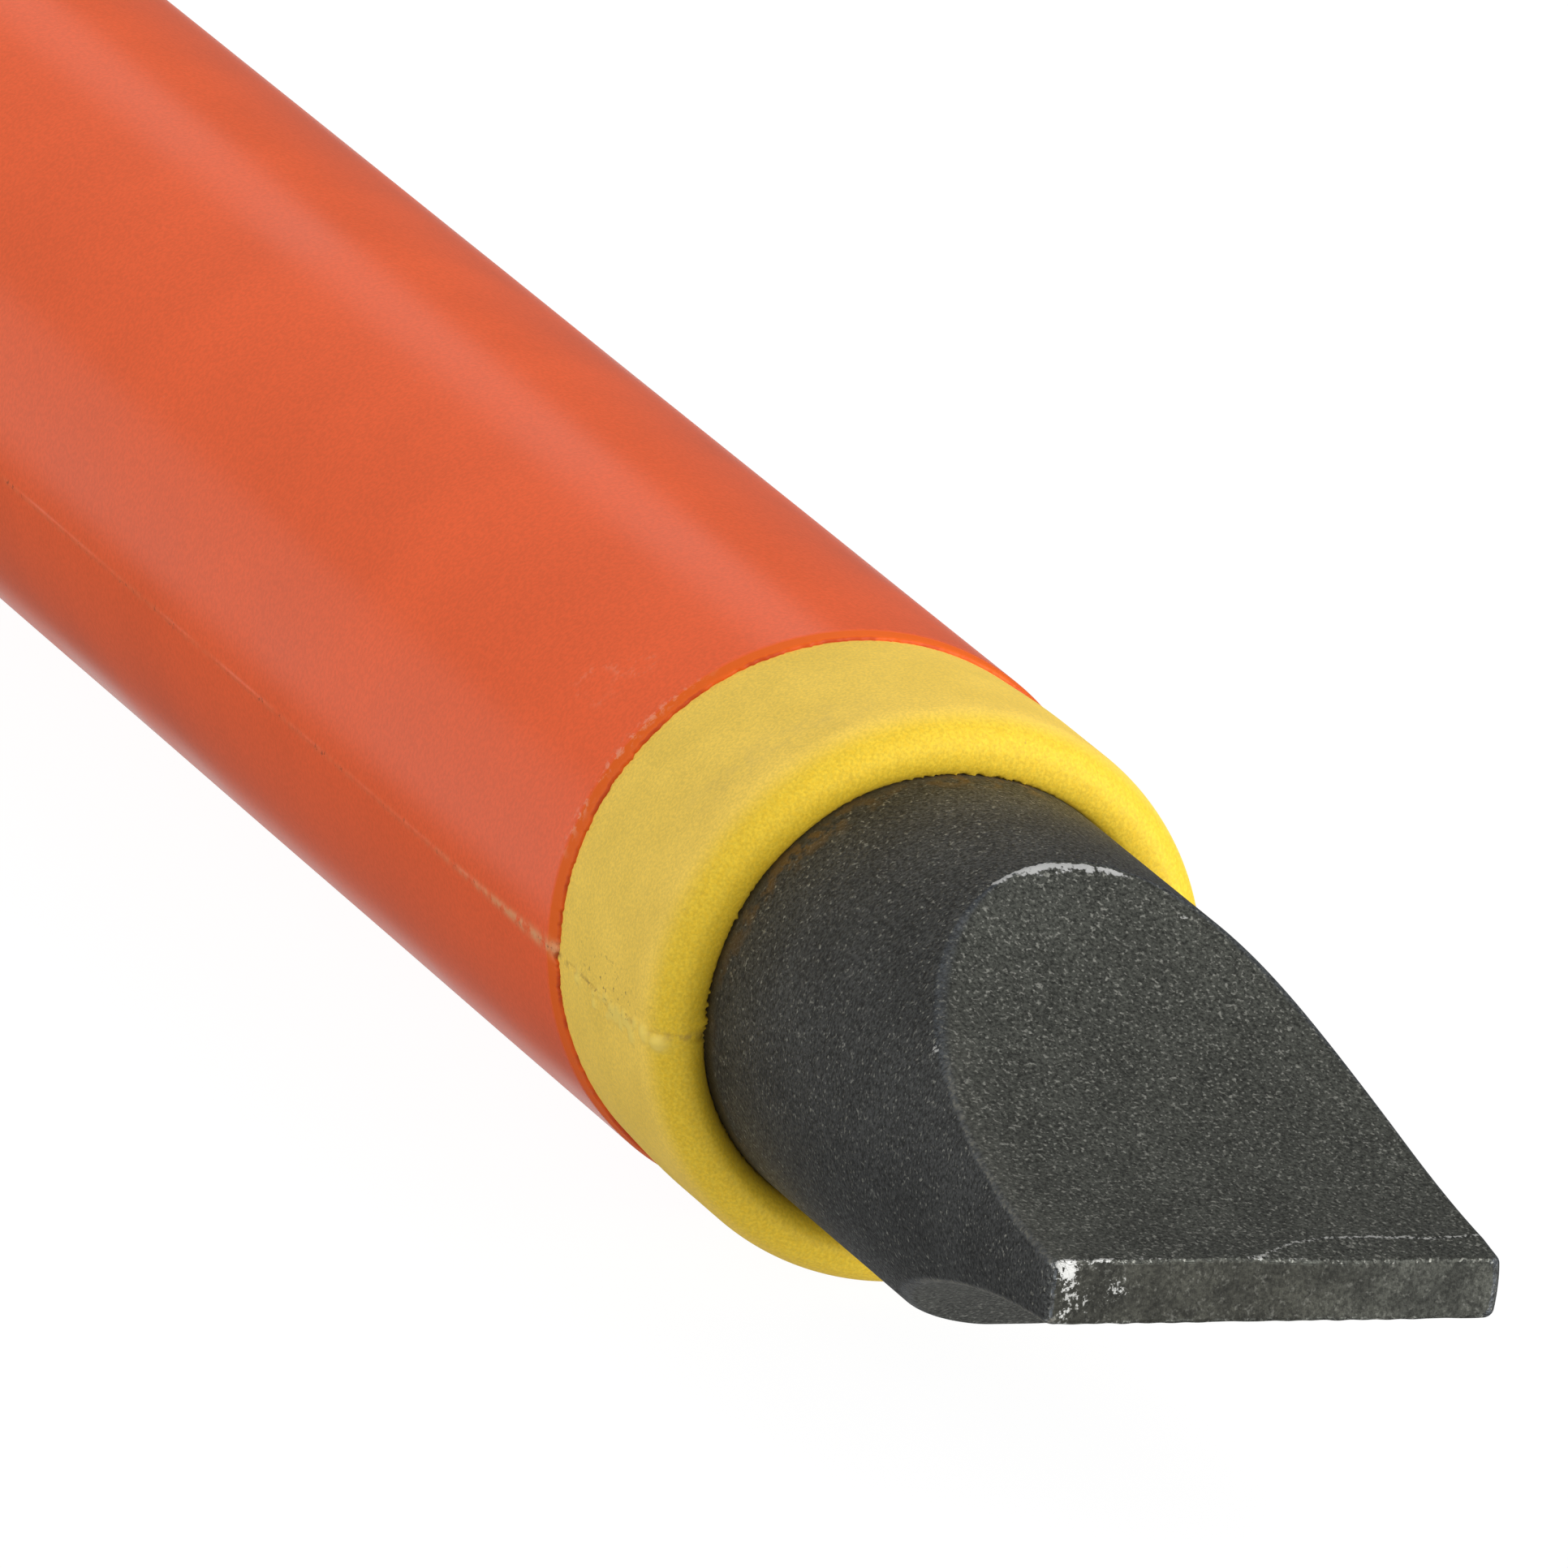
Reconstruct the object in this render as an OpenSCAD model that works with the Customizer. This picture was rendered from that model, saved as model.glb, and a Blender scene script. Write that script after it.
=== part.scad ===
// Insulated cold chisel: one round steel bar, hollow ground on two sides to a blunt cutting end, inside a
// two-layer insulating sleeve. The bare struck head is at -X and the cutting end at +X. The chisel lies on its
// side: +Z is up, the blade's width runs along Y, and the origin is on the bench under the middle of its length.

/* [Steel bar] */
// Diameter of the round bar
bar_d = 19.05; // [16:0.05:22]
// Overall length, from the struck face to the cutting end
overall_len = 178; // [150:1:250]
// Length of each hollow face, from the cutting end back to where it runs out on the bar
grind_len = 24; // [18:0.5:30]
// Radius of the wheel that hollows the two faces
hollow_r = 48; // [40:1:80]
// Thickness of the blunt cutting end
edge_t = 2.6; // [1.5:0.1:4]
// Broken edge on the corners of the cutting end
edge_break = 0.4; // [0.2:0.1:0.8]
// Diameter of the flat land that the hammer meets
struck_land_d = 13; // [10:0.5:15]
// Length of the bevel round the struck face
head_bevel_len = 3; // [1:0.5:5]

/* [Insulation] */
// Outside diameter of the finished insulation
sleeve_d = 24; // [23.6:0.1:30]
// Thickness of the inner layer where the outer layer covers it
inner_t = 1.2; // [0.8:0.1:1.6]
// Largest diameter of the inner layer's bare collars
collar_d = 23.8; // [23.4:0.1:23.8]
// Diameter of the collars where the outer layer is trimmed back
collar_neck_d = 23.3; // [22.6:0.1:23.3]
// Width of each bare collar
collar_w = 10.9; // [6:0.1:15]
// Length over which a collar swells from its neck to its largest diameter
collar_swell_w = 5; // [2:0.5:5]
// Radius on the trimmed ends of the outer layer
trim_r = 0.5; // [0.2:0.1:0.6]
// Bare steel between the front collar and the cutting end
front_bare_len = 34.8; // [31:0.1:50]
// Bare steel between the rear collar and the struck face
head_bare_len = 22; // [10:0.5:30]

/* [Hidden] */
$fn = 128;

// Extra length on every cutter, so that no two faces coincide
cut_extra = 1;

bar_r = bar_d / 2;
sleeve_r = sleeve_d / 2;
collar_r = collar_d / 2;
collar_neck_r = collar_neck_d / 2;
inner_r = bar_r + inner_t;

// Places along the chisel's axis, measured from the middle of its length
tip_x = overall_len / 2;
struck_x = -overall_len / 2;
front_lip_x = tip_x - front_bare_len;
rear_lip_x = struck_x + head_bare_len;
sleeve_front_x = front_lip_x - collar_w;
sleeve_rear_x = rear_lip_x + collar_w;

// The lip of a collar is a half round that fills the collar's whole thickness
lip_r = (collar_r - bar_r) / 2;

// Centre of the wheel: it cuts the end face at the edge's corner, and the top of the bar at grind_len behind it
grind_rise = bar_r - edge_t / 2;
grind_chord = sqrt(pow(grind_len, 2) + pow(grind_rise, 2));
wheel_offset = sqrt(pow(hollow_r, 2) - pow(grind_chord / 2, 2));
wheel_x = tip_x - grind_len / 2 + wheel_offset * grind_rise / grind_chord;
wheel_z = edge_t / 2 + grind_rise / 2 + wheel_offset * grind_len / grind_chord;

// Turns a profile about the chisel's axis. In the profile, x is the radius and y is the place along the axis.
module turned() {
    translate([0, 0, sleeve_r])
        rotate([0, 90, 0])
            rotate_extrude()
                children();
}

// A plain ring in a turned profile, between two radii and two places along the axis
module ring_profile(r_in, r_out, from, to) {
    translate([r_in, from])
        square([r_out - r_in, to - from]);
}

// The bar before grinding: round stock with a bevel round the struck face and a broken edge at the other end
module bar_profile() {
    polygon([
        [0, struck_x],
        [struck_land_d / 2, struck_x],
        [bar_r, struck_x + head_bevel_len],
        [bar_r, tip_x - edge_break],
        [bar_r - edge_break, tip_x],
        [0, tip_x]
    ]);
}

// The grinding wheel, over the upper face
module wheel() {
    translate([wheel_x, 0, sleeve_r + wheel_z])
        rotate([90, 0, 0])
            cylinder(r = hollow_r, h = sleeve_d + 2 * cut_extra, center = true, $fn = 256);
}

// One-piece steel chisel
module chisel_bar() {
    color([0.27, 0.27, 0.25])
    difference() {
        turned()
            bar_profile();
        wheel();
        translate([0, 0, sleeve_d])
            mirror([0, 0, 1])
                wheel();
    }
}

// Profile of a bare collar whose outer layer is trimmed at trim_x and whose lip faces along dir (+1 or -1)
module collar_profile(trim_x, dir) {
    lip_x = collar_w - lip_r;
    translate([0, trim_x])
        mirror([0, (1 - dir) / 2]) {
            polygon([
                [bar_r, 0],
                [collar_neck_r, 0],
                [collar_r, collar_swell_w],
                [collar_r, lip_x],
                [bar_r, lip_x]
            ]);
            translate([bar_r + lip_r, lip_x])
                circle(r = lip_r, $fn = 64);
        }
}

// Inner layer: a thin sleeve on the bar, standing up as a bare collar at each end
module inner_insulation() {
    color([0.85, 0.71, 0.22])
    turned() {
        ring_profile(bar_r, inner_r, sleeve_rear_x, sleeve_front_x);
        collar_profile(sleeve_front_x, 1);
        collar_profile(sleeve_rear_x, -1);
    }
}

// Outer layer: the sleeve between the two collars, with rounded trimmed ends
module outer_insulation() {
    color([0.86, 0.37, 0.22])
    turned() {
        ring_profile(inner_r, sleeve_r - trim_r, sleeve_rear_x, sleeve_front_x);
        ring_profile(inner_r, sleeve_r, sleeve_rear_x + trim_r, sleeve_front_x - trim_r);
        for (x = [sleeve_rear_x + trim_r, sleeve_front_x - trim_r])
            translate([sleeve_r - trim_r, x])
                circle(r = trim_r, $fn = 32);
    }
}

chisel_bar();
inner_insulation();
outer_insulation();
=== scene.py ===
"""The looks of an insulated cold chisel: three detailed pieces in place of the CAD parts, and a plain studio.

Shapes are worked out in millimetres in the chisel's own terms and turned into metres when a mesh is made.
"back" is the distance behind the cutting end, along the axis. "turn" is the angle round the axis in degrees,
from +Y (0) through +Z (90) to -Y (180). "across" is along +Y and "up" is above the axis.
"""

import bmesh
import bpy
import numpy as np
from mathutils import Matrix, Vector


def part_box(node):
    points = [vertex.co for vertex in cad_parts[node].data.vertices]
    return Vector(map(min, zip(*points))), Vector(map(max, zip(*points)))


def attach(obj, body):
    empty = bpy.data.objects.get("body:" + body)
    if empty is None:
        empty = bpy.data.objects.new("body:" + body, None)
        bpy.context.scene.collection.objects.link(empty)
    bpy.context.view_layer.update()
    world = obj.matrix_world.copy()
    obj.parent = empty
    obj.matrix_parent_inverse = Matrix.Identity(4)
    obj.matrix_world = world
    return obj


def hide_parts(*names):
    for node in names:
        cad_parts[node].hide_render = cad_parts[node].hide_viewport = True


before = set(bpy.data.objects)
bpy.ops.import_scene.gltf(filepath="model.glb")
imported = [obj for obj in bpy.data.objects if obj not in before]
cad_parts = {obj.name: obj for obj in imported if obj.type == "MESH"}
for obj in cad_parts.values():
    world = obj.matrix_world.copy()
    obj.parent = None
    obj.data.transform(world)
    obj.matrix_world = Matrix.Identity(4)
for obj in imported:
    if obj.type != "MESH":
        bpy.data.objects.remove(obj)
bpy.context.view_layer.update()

MM = 0.001

# ---------------------------------------------------------------- sizes, in millimetres

bar_lo, bar_hi = (np.array(corner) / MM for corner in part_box("chisel_bar"))
inner_lo, inner_hi = (np.array(corner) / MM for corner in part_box("inner_insulation"))
outer_lo, outer_hi = (np.array(corner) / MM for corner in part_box("outer_insulation"))

AXIS_Z = (outer_lo[2] + outer_hi[2]) / 2
TIP_X = bar_hi[0]
OVERALL = bar_hi[0] - bar_lo[0]
BAR_R = (bar_hi[1] - bar_lo[1]) / 2
COLLAR_R = (inner_hi[1] - inner_lo[1]) / 2
SLEEVE_R = (outer_hi[1] - outer_lo[1]) / 2

# Places along the axis, as distances behind the tip
FRONT_LIP = TIP_X - inner_hi[0]
FRONT_TRIM = TIP_X - outer_hi[0]
REAR_TRIM = TIP_X - outer_lo[0]
REAR_LIP = TIP_X - inner_lo[0]

# The blade: two hollow faces cut by a wheel, down to a blunt edge
GRIND_LEN = 24.0
HOLLOW_R = 48.0
EDGE_T = 2.6
EDGE_BREAK = 0.4
EDGE_ROUND = 0.12
TIP_FILLET = 0.36
FILLET_GROWTH = 0.9
RUNOUT_BLEND = 0.2

# A second, steeper pass of the wheel beside the tip: how far back it reaches, how steep it is, and where
# across the blade it starts and is full. The sliver makes it touch the tip's edge all the way across
FACET_LEN = 1.8
FACET_SLOPE = 0.09
FACET_START = -2.2
FACET_FULL = 2.9
FACET_SLIVER = 1e-6

# The bright sliver where the upper face runs out, bare metal with a painted highlight: its crest, how that
# bends, and its half length and widths
CRESCENT_BACK = 23.92
CRESCENT_BEND = 0.075
CRESCENT_HALF_LEN = 3.1
CRESCENT_BEHIND = 0.14
CRESCENT_AHEAD = 0.48

# Wear: how far behind the tip its nicks and chips fade out, how deep the nicks are, and the chips on the
# cutting end, each with its place across and up, its radius and its strength
TIP_REACH = 0.25
NICK_DEPTH = 0.018
CHIPS = (
    ((-8.7, 1.0), 0.50, 1.0),
    ((-8.8, 0.2), 0.60, 0.45),
    ((-8.7, -0.9), 0.40, 0.55),
    ((-8.0, -0.3), 0.80, 0.50),
    ((-6.5, 0.1), 0.75, 0.64),
    ((-7.4, 1.2), 0.60, 0.45),
)
# A scratch over the upper face's -Y edge, as distance back, its width, turn and its width, and two on the
# face itself, as distance back, its width, distance across and its width
EDGE_SCRATCH = (15.7, 0.55, 151.0, 3.2)
FACE_SCRATCHES = ((21.6, 0.35, 4.1, 0.8), (14.5, 0.3, 6.0, 0.35))

# The struck end
STRUCK_R = 6.5
HEAD_BEVEL = 3.0
HEAD_BLEND = 0.35
STRUCK_ROUND = 0.3
DENT_COUNT = 16

# The insulation
INNER_R = BAR_R + 1.2
NECK_R = 11.63
SWELL_W = 4.7
LIP_LEN = 2.1
LIP_CURL = 0.55
LIP_CREST_R = 10.5
FOAM_DEPTH = 0.015
FOAM_GRAIN = 0.003
CRUMB_COUNT = 26
TRIM_LEN = 0.8
TRIM_DROP = 0.12
SEAM_TURN = 185.0
SEAM_ZONE = 10.0
# Small scuffed loops on the sleeve: distance back, turn and radius
SCUFF_LOOPS = ((51.6, 137.0, 0.9), (50.4, 129.0, 0.5))

# The visible sleeve lies just inside the CAD one, and nothing on it stands up past the limit
SKIN_R = SLEEVE_R - 0.035
OUTER_LIMIT = SLEEVE_R - 0.01


# ---------------------------------------------------------------- helpers for shapes

def smooth_step(low, high, value):
    """0 below low, 1 above high, and a smooth change between them."""
    part = np.clip((value - low) / (high - low), 0, 1)
    return part * part * (3 - 2 * part)


def bump_at(centre, width, value):
    """1 at the centre, falling smoothly to almost nothing at that width to either side."""
    return np.exp(-((value - centre) / (0.5 * width)) ** 2)


def patch(across, up, centre, radius):
    """1 at the centre of a patch on an end face, falling smoothly to almost nothing past its radius."""
    return np.exp(-((across - centre[0]) ** 2 + (up - centre[1]) ** 2) / radius ** 2)


def soft_min(first, second, blend):
    """The smaller of two values, with the corner between them rounded over that range."""
    overlap = np.clip(blend - np.abs(first - second), 0, None)
    return np.minimum(first, second) - overlap ** 2 / (4 * blend)


def round_in(distance, radius):
    """How far an edge with that radius has drawn in, at a distance from the end face."""
    inside = np.clip(radius - distance, 0, radius)
    return radius - np.sqrt(radius ** 2 - inside ** 2)


def turn_gap(turn, centre):
    """The signed angle from one turn to another, in degrees."""
    return (turn - centre + 180) % 360 - 180


def ripple(turn, seed, lowest, highest, falloff):
    """A smooth random curve round the axis, of about unit size, made of that range of harmonics."""
    rng = np.random.default_rng(seed)
    harmonics = np.arange(lowest, highest + 1)
    weights = harmonics.astype(float) ** -falloff
    phases = rng.uniform(0, 2 * np.pi, len(harmonics))
    total = np.zeros_like(np.asarray(turn, float))
    for harmonic, weight, phase in zip(harmonics, weights, phases):
        total = total + weight * np.sin(harmonic * np.radians(turn) + phase)
    return total / np.sqrt((weights ** 2).sum() / 2)


def lumps(turn, back, seed, around, along, count):
    """Random soft lumps over a round surface, of about unit size: up to so many waves round it and per mm."""
    rng = np.random.default_rng(seed)
    total = np.zeros_like(turn + back, dtype=float)
    for _ in range(count):
        waves_round = rng.integers(-around, around + 1)
        waves_along = rng.uniform(-along, along)
        phase = rng.uniform(0, 2 * np.pi)
        total = total + np.sin(waves_round * np.radians(turn) + 2 * np.pi * waves_along * back + phase)
    return total / np.sqrt(count / 2)


def spaced(marks):
    """Values that run through the marks, each given with the number of steps to the next one."""
    parts = []
    for (start, steps), (end, _) in zip(marks, marks[1:]):
        parts.append(np.linspace(start, end, steps, endpoint=False))
    return np.append(np.concatenate(parts), marks[-1][0])


def place(back, across, up):
    """Points in the frame, in metres."""
    back, across, up = np.broadcast_arrays(back, across, up)
    return np.stack([TIP_X - back, across, AXIS_Z + up], axis=-1) * MM


def grid_faces(rows, columns, wrap_rows, first):
    """Four-sided faces over a grid of points whose columns close on themselves."""
    row = np.arange(rows if wrap_rows else rows - 1)[:, None]
    column = np.arange(columns)[None, :]
    next_row = (row + 1) % rows
    next_column = (column + 1) % columns
    corners = (
        row * columns + column,
        row * columns + next_column,
        next_row * columns + next_column,
        next_row * columns + column,
    )
    return first + np.stack(np.broadcast_arrays(*corners), axis=-1).reshape(-1, 4)


def strip_faces(rows, columns, first):
    """Four-sided faces over an open grid of points."""
    row = np.arange(rows - 1)[:, None]
    column = np.arange(columns - 1)[None, :]
    corner = first + row * columns + column
    return np.stack([corner, corner + 1, corner + columns + 1, corner + columns], axis=-1).reshape(-1, 4)


def make_piece(name, points, faces, marks):
    """A closed, smooth-shaded mesh. marks are named values at every point, which the materials read."""
    mesh = bpy.data.meshes.new(name)
    mesh.from_pydata(points.tolist(), [], faces.tolist())
    for mark, values in marks.items():
        mesh.attributes.new(mark, "FLOAT", "POINT").data.foreach_set("value", values.astype(np.float32))
    shape = bmesh.new()
    shape.from_mesh(mesh)
    bmesh.ops.remove_doubles(shape, verts=shape.verts, dist=0.0005 * MM)
    bmesh.ops.recalc_face_normals(shape, faces=shape.faces)
    for face in shape.faces:
        face.smooth = True
    shape.to_mesh(mesh)
    shape.free()
    piece = bpy.data.objects.new(name, mesh)
    bpy.context.scene.collection.objects.link(piece)
    return piece


# ---------------------------------------------------------------- the steel bar

QUARTER_STEPS = 80
CAP_ROWS = 24
FILLET_CROWDING = 2.5
# A ground face shallower than this is left out, so that the section is a full circle
SHALLOWEST = 1e-4


def hollow_half(back):
    """Half the thickness that the wheel leaves between the two hollow faces."""
    rise = BAR_R - EDGE_T / 2
    chord = np.hypot(GRIND_LEN, rise)
    offset = np.sqrt(HOLLOW_R ** 2 - (chord / 2) ** 2)
    ahead = offset * rise / chord - GRIND_LEN / 2
    wheel_up = EDGE_T / 2 + rise / 2 + offset * GRIND_LEN / chord
    # Beyond the grind the wheel is clear of the bar, and this only keeps the root real
    reach = np.minimum(back + ahead, 0.9 * HOLLOW_R)
    return wheel_up - np.sqrt(HOLLOW_R ** 2 - reach ** 2)


def bar_radius(back):
    """The bar's radius before grinding, with its broken edge at the tip and its bevel at the head."""
    from_face = OVERALL - back
    bevel = STRUCK_R + from_face * (BAR_R - STRUCK_R) / HEAD_BEVEL
    radius = soft_min(BAR_R, bevel, HEAD_BLEND)
    return radius - round_in(back, EDGE_BREAK) - round_in(from_face, STRUCK_ROUND)


def side_fillet(back):
    """The rounding between a hollow face and the bar's round side. It widens where the grind starts."""
    return TIP_FILLET + FILLET_GROWTH * smooth_step(10, 22, back)


def quarter_section(radius, half, fillet):
    """A quarter of the section, from the middle of the upper face round to the side.

    Returns across, up and how much each point belongs to the ground face.
    """
    half = min(half, radius)
    fillet = min(fillet, half)
    flat = np.sqrt((radius - fillet) ** 2 - (half - fillet) ** 2)
    start = np.arctan2(half - fillet, flat)
    # Points crowd on the fillet, where the surface turns fastest
    lengths = np.array([flat, FILLET_CROWDING * fillet * (np.pi / 2 - start), radius * start])
    ends = np.cumsum(lengths)
    at = np.linspace(0, ends[-1], QUARTER_STEPS + 1)
    on_flat = at <= ends[0]
    on_side = at >= ends[1]
    fillet_part = np.clip((at - ends[0]) / max(lengths[1], 1e-9), 0, 1)
    fillet_angle = np.pi / 2 + fillet_part * (start - np.pi / 2)
    side_angle = start * (1 - np.clip((at - ends[1]) / max(lengths[2], 1e-9), 0, 1))
    across = flat + fillet * np.cos(fillet_angle)
    up = half - fillet + fillet * np.sin(fillet_angle)
    across = np.where(on_flat, at, np.where(on_side, radius * np.cos(side_angle), across))
    up = np.where(on_flat, half, np.where(on_side, radius * np.sin(side_angle), up))
    ground = np.where(on_flat, 1.0, np.where(on_side, 0.0, 1 - fillet_part))
    return across, up, ground if half < radius else np.zeros_like(at)


def whole_section(across, up, ground):
    """Mirrors a quarter of the section into a ring that starts at the +Y side and goes over the top."""
    over_across = np.concatenate([across[::-1], -across[1:]])
    over_up = np.concatenate([up[::-1], up[1:]])
    over_ground = np.concatenate([ground[::-1], ground[1:]])
    return (
        np.concatenate([over_across, over_across[-2:0:-1]]),
        np.concatenate([over_up, -over_up[-2:0:-1]]),
        np.concatenate([over_ground, over_ground[-2:0:-1]]),
    )


def cap_grid(across, up):
    """Fills a ring from top to bottom: the first row runs over the top of the ring, the last one under it."""
    half_count = len(across) // 2
    upper_across, upper_up = across[: half_count + 1], up[: half_count + 1]
    lower_up = np.append(up[half_count:], up[0])[::-1]
    share = np.linspace(0, 1, CAP_ROWS + 1)[:, None]
    return np.repeat(upper_across[None], CAP_ROWS + 1, 0), upper_up * (1 - share) + lower_up * share


def facet_reach(across):
    """How far back from the tip the second, steeper pass of the wheel reaches. It lies on the +Y side."""
    return FACET_LEN * smooth_step(FACET_START, FACET_FULL, across)


def facet_cut(back, across):
    """How much that pass took off the upper face."""
    return FACET_SLOPE * np.clip(facet_reach(across) + FACET_SLIVER - back, 0, None)


def facet_line(back, across):
    """The crest where that pass ends, painted bright as bare metal and a highlight. It isn't quite straight.
    """
    reach = facet_reach(across) + 0.06 * ripple(across * 12, seed=13, lowest=3, highest=20, falloff=0.6)
    return bump_at(reach, 0.4, back) * smooth_step(-1.5, 0.0, across)


def nicks(back, across, up):
    """Small dents along the tip's edges."""
    near_tip = np.exp(-back / TIP_REACH)
    wave = lumps(across * 40, up, seed=11, around=9, along=0.8, count=24)
    return NICK_DEPTH * near_tip * wave


def hammer_dents(back, across, up):
    """Depth of the shallow dents that a hammer has left in the struck face."""
    rng = np.random.default_rng(14)
    depth = np.zeros_like(across + up, dtype=float)
    for _ in range(DENT_COUNT):
        from_axis = 0.8 * STRUCK_R * np.sqrt(rng.uniform())
        angle = rng.uniform(0, 2 * np.pi)
        radius = rng.uniform(0.7, 1.6)
        deepest = rng.uniform(0.02, 0.07)
        centre = from_axis * np.array([np.cos(angle), np.sin(angle)])
        depth = depth + deepest * patch(across, up, centre, radius)
    on_face = back > OVERALL - 0.01
    return depth * on_face


def crescent(back, across):
    """The bright sliver where the upper face runs out on the round bar, bare metal with a painted highlight:
    1 along its crest, 0 at its outline.

    It falls off fast behind the crest and slowly in front of it, where the grain breaks it up.
    """
    crest = CRESCENT_BACK - CRESCENT_BEND * (across + 0.3) ** 2
    taper = np.sqrt(np.clip(1 - ((across + 0.6) / CRESCENT_HALF_LEN) ** 2, 0, 1)) + 1e-3
    width = np.where(back > crest, CRESCENT_BEHIND, CRESCENT_AHEAD) * taper
    return np.clip(1 - np.abs(back - crest) / width, 0, 1)


def chipped_corner(back, across, up):
    """Where the cutting end is chipped bright: solid at its upper -Y corner, then scattered."""
    chips = sum(strength * patch(across, up, centre, radius) for centre, radius, strength in CHIPS)
    return chips * np.exp(-back / TIP_REACH)


def rubbed_edges(back, across, up, ground, end_face):
    """The rubbed -Y edge of each hollow face, and a speckled band inside the upper one."""
    upper = up > 0
    left = across < 0
    edge = 4 * ground * (1 - ground)
    fade = 1 - 0.75 * smooth_step(12, 16, back)
    line = edge ** 3 * left * np.where(upper, 1.0, 1.5) * fade * (back < 22)
    from_edge = across + np.sqrt(np.clip(BAR_R ** 2 - hollow_half(back) ** 2, 0, None))
    fade = 1 - smooth_step(14, 20, back)
    band = 0.4 * np.exp(-np.abs(from_edge) / 0.9) * ground * upper * (1 - end_face) * fade
    return np.maximum(line, band)


def tip_edge_wear_and_highlight(back, across, up, end_face):
    """How bare the upper and lower edges of the tip are, with a painted highlight along their rounding. The
    -Y side is barer.
    """
    on_edge = smooth_step(0.55, 0.95, np.abs(up) / (EDGE_T / 2)) * (1 - end_face)
    uneven = 0.12 * ripple(across * 12, seed=12, lowest=2, highest=12, falloff=0.4)
    return bump_at(EDGE_ROUND, 0.35, back) * on_edge * (0.27 + 0.2 * (across < 0) + uneven)


def scratches(back, across, up, turn):
    """The small bare scratches on the upper face and over its edge."""
    edge_back, edge_width, edge_turn, edge_spread = EDGE_SCRATCH
    total = 1.2 * bump_at(edge_back, edge_width, back) * bump_at(edge_turn, edge_spread, turn)
    for face_back, face_width, face_across, face_spread in FACE_SCRATCHES:
        scratch = bump_at(face_back, face_width, back) * bump_at(face_across, face_spread, across)
        total = total + 0.8 * (up > 0) * scratch
    return total


def bar_marks(back, across, up, ground, end_face):
    """Values for the steel's material at each point."""
    turn = np.degrees(np.arctan2(up, across)) % 360
    upper = up > 0
    wear_and_highlight = chipped_corner(back, across, up)
    # The tip's edges and the facet's crest are painted bright: partly bare metal, partly a painted highlight
    wear_and_highlight = wear_and_highlight + tip_edge_wear_and_highlight(back, across, up, end_face)
    wear_and_highlight = wear_and_highlight + 0.75 * facet_line(back, across) * upper * ground * (1 - end_face)
    wear_and_highlight = wear_and_highlight + scratches(back, across, up, turn)
    wear_and_highlight = wear_and_highlight + 0.45 * np.clip(hammer_dents(back, across, up) / 0.05, 0, 1.2)
    from_lip = np.maximum(FRONT_LIP - back, back - REAR_LIP)
    uneven = 0.25 * ripple(turn, seed=5, lowest=2, highest=9, falloff=0.6)
    stain = (0.35 + uneven + 0.6 * bump_at(122, 70, turn)) * (1 - smooth_step(-0.6, 1.9, from_lip))
    return {
        "ground": np.maximum(ground, end_face),
        "end_face": end_face * (1 - 0.6 * smooth_step(0, 7, across)),
        # Beside the lip: partly pale dust, partly painted light that lifts the shade in the groove by the lip
        "dust": 1 - smooth_step(-0.6, 0.5, from_lip),
        "wear_and_highlight": np.clip(wear_and_highlight, 0, 1.2),
        "rubbed": rubbed_edges(back, across, up, ground, end_face),
        # The sliver: bare metal, with a painted highlight on it
        "polish_and_highlight": crescent(back, across) * upper,
        "stain": np.clip(stain, 0, 1),
    }


def build_bar():
    # Rings along the bar, closest together at the tip, where the faces run out and at the head
    stations = spaced([
        (0.0, 10), (EDGE_BREAK, 26), (3.0, 56), (19.0, 24), (22.6, 32), (24.4, 26), (FRONT_LIP + 2, 5),
        (REAR_LIP - 2, 40), (OVERALL - 4.0, 24), (OVERALL - STRUCK_ROUND, 6), (OVERALL, 0),
    ])
    rings = []
    for back in stations:
        half = soft_min(hollow_half(back) - round_in(back, EDGE_ROUND), BAR_R, RUNOUT_BLEND)
        half = BAR_R if half > BAR_R - SHALLOWEST else half
        rings.append(whole_section(*quarter_section(bar_radius(back), half, side_fillet(back))))
    across, up, ground = (np.array(values) for values in zip(*rings))
    back = np.broadcast_to(stations[:, None], across.shape)
    sheets = [(back, across, up, ground, np.zeros_like(across))]
    for end in (0, -1):
        cap_across, cap_up = cap_grid(across[end], up[end])
        is_tip = float(end == 0)
        flat = np.full_like(cap_across, is_tip)
        sheets.append((np.full_like(cap_across, stations[end]), cap_across, cap_up, flat, flat))

    points, marks = [], []
    for back, across, up, ground, end_face in sheets:
        cut = facet_cut(back, across) * smooth_step(0.0, 0.9, up / hollow_half(back))
        nicked = nicks(back, across, up) * up / (EDGE_T / 2)
        dented_back = back - hammer_dents(back, across, up)
        points.append(place(dented_back, across, up - cut + nicked).reshape(-1, 3))
        values = bar_marks(back, across, up, ground, end_face)
        marks.append({key: value.ravel() for key, value in values.items()})
    rows, columns = sheets[0][0].shape
    faces = [grid_faces(rows, columns, False, 0)]
    first = rows * columns
    for sheet in sheets[1:]:
        faces.append(strip_faces(*sheet[0].shape, first))
        first += sheet[0].size
    joined = {key: np.concatenate([each[key] for each in marks]) for key in marks[0]}
    return make_piece("steel_bar", np.concatenate(points), np.concatenate(faces), joined)


# ---------------------------------------------------------------- the insulation

def ring_grid(name, back, radius, turn, marks):
    """A closed ring of profiles: back and radius have a row for each point and a column for each turn."""
    angle = np.radians(turn)
    points = place(back, radius * np.cos(angle), radius * np.sin(angle))
    faces = grid_faces(*points.shape[:2], True, 0)
    flat_marks = {key: value.ravel() for key, value in marks.items()}
    return make_piece(name, points.reshape(-1, 3), faces, flat_marks)


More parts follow.
